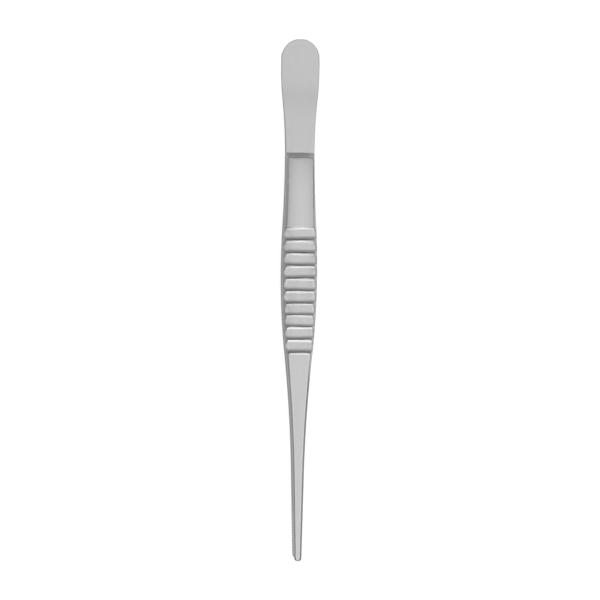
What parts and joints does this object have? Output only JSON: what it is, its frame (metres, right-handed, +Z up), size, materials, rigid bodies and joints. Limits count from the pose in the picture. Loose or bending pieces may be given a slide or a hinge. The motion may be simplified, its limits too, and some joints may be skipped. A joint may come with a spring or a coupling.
{
  "type": "thumb forceps",
  "caption": "Thumb forceps: spring legs joined face to face at a rounded head, stepped grips with transverse flutes, and long tapering shanks ending in narrow blunt serrated tips.",
  "frame": {"origin": "centre of the bounding box's bottom: on the table under the middle of the instrument's length", "axes": "+X across the legs, +Y along the length from the tips towards the head, +Z up out of the table, from the back leg to the front leg"},
  "size_m": [0.0106, 0.145, 0.014],
  "materials": {
    "satin_steel": "satin stainless steel, evenly blasted and lightly brushed"
  },
  "bodies": {
    "root": {"front_leg": "satin_steel", "back_leg": "satin_steel"}
  },
  "joints": []
}
